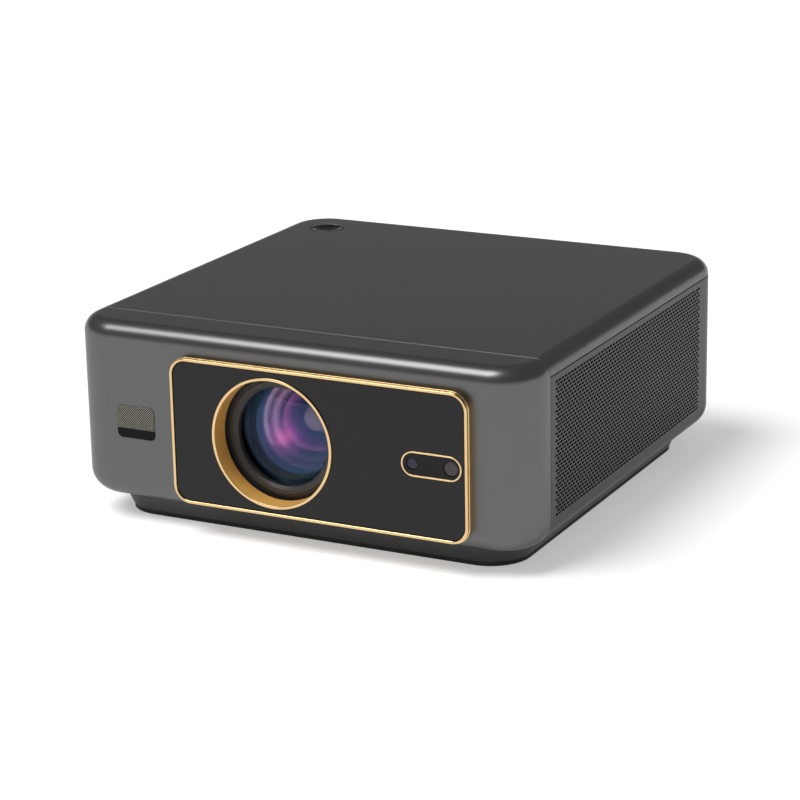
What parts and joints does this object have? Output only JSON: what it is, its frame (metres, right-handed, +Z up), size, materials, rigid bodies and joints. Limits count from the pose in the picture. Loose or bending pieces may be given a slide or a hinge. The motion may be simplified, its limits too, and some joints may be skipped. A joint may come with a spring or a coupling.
{
  "type": "home projector",
  "caption": "Low square home projector: rounded dark cabinet, gold-framed glass front with a focusing lens, perforated sides, and a rear panel of sockets.",
  "frame": {"origin": "middle of the overall footprint, on the table under the rubber pad", "axes": "+Z up, the lens and glass front face -Y, +X to the viewer's right when facing the lens"},
  "size_m": [0.241, 0.2458, 0.099],
  "materials": {
    "shell_paint": "powder-coated look, fine satin",
    "grille_paint": "fine powder coat",
    "plinth": "matt dark grey",
    "pad_rubber": "matt black",
    "gold": "satin gold anodised",
    "black_glass": "gloss black",
    "sensor_dark": "dark filter glass",
    "badge_black": "gloss black",
    "barrel_black": "matt black",
    "lens_glass": "coated glass",
    "steel": "bright",
    "engine_alloy": "cast grey",
    "sink_alloy": "extruded",
    "mirror": "front silvered",
    "panel": "LCD panel glass",
    "clear_plate": "clear",
    "fan_black": "matt black",
    "board_green": "solder mask",
    "board_black": "solder mask",
    "drive_white": "acetal",
    "foam": "open-cell foam",
    "button_gloss": "gloss black",
    "socket_steel": "plated",
    "socket_black": "moulded",
    "led_white": "ceramic board with phosphor",
    "insert_brass": "knurled"
  },
  "bodies": {
    "chassis": {"front_shell": "shell_paint", "top_cover": "shell_paint", "side_housing": "grille_paint", "base_tray": "plinth", "base_pad": "pad_rubber", "case_screws": "steel", "mount_inserts": "insert_brass", "bezel_frame": "gold", "front_glass": "black_glass", "lens_trim_ring": "gold", "sensor_trim_ring": "gold", "sensor_window": "sensor_dark", "focus_camera": "sensor_dark", "distance_sensor": "sensor_dark", "sensor_board": "board_black", "badge_plate": "badge_black", "lens_tube": "barrel_black", "retaining_clip": "steel", "focus_motor": "steel", "engine_case": "engine_alloy", "engine_cover": "engine_alloy", "turning_mirror": "mirror", "lamp_tube": "engine_alloy", "condenser_lens": "lens_glass", "led_module": "led_white", "led_heatsink": "sink_alloy", "exhaust_fan_frame": "fan_black", "intake_fan_frame": "fan_black", "dust_filter": "foam", "main_board": "board_green", "chip_heatsink": "sink_alloy", "power_board": "board_green", "power_components": "socket_black", "port_plate": "badge_black", "hdmi_sockets": "socket_steel", "usb_sockets": "socket_steel", "audio_jacks": "socket_black", "remote_receiver": "sensor_dark", "mains_inlet": "socket_black", "button_switch": "socket_black", "key_board": "board_green", "front_fresnel": "clear_plate", "lcd_panel": "panel", "rear_fresnel": "clear_plate", "heat_glass": "clear_plate", "left_speaker_box": "fan_black", "right_speaker_box": "fan_black", "left_speaker_driver": "barrel_black", "right_speaker_driver": "barrel_black"},
    "focus_ring": {"focus_ring": "drive_white"},
    "lens_barrel": {"lens_barrel": "barrel_black", "front_lens": "lens_glass", "middle_lens": "lens_glass", "rear_lens": "lens_glass", "cam_pins": "steel"},
    "motor_pinion": {"motor_pinion": "drive_white"},
    "power_button": {"power_button": "button_gloss", "switch_plunger": "socket_black"},
    "exhaust_fan_rotor": {"exhaust_fan_rotor": "fan_black"},
    "intake_fan_rotor": {"intake_fan_rotor": "fan_black"}
  },
  "joints": [
    {"name": "focus_turn", "type": "hinge", "parent": "chassis", "child": "focus_ring", "pos_m": [-0.0075, -0.07815, 0.0517], "axis": [0, 1, 0], "range_deg": [0, 80]},
    {"name": "barrel_slide", "type": "slide", "parent": "chassis", "child": "lens_barrel", "axis": [0, -1, 0], "range_m": [0, 0.006]},
    {"name": "pinion_spin", "type": "hinge", "parent": "chassis", "child": "motor_pinion", "pos_m": [-0.04647, -0.07215, 0.0742], "axis": [0, 1, 0], "range_deg": [-320, 0]},
    {"name": "button_press", "type": "slide", "parent": "chassis", "child": "power_button", "axis": [0, 0, -1], "range_m": [0, 0.0008], "stiffness_N_per_m": 1200},
    {"name": "exhaust_fan_spin", "type": "hinge", "parent": "chassis", "child": "exhaust_fan_rotor", "pos_m": [0.107, -0.00715, 0.0517], "axis": [1, 0, 0], "continuous": true},
    {"name": "intake_fan_spin", "type": "hinge", "parent": "chassis", "child": "intake_fan_rotor", "pos_m": [-0.107, 0.03185, 0.0517], "axis": [1, 0, 0], "continuous": true}
  ],
  "couplings": [
    {"joint": "barrel_slide", "follows": "focus_turn", "m_per_rad": 0.0042972},
    {"joint": "pinion_spin", "follows": "focus_turn", "ratio": -4}
  ]
}
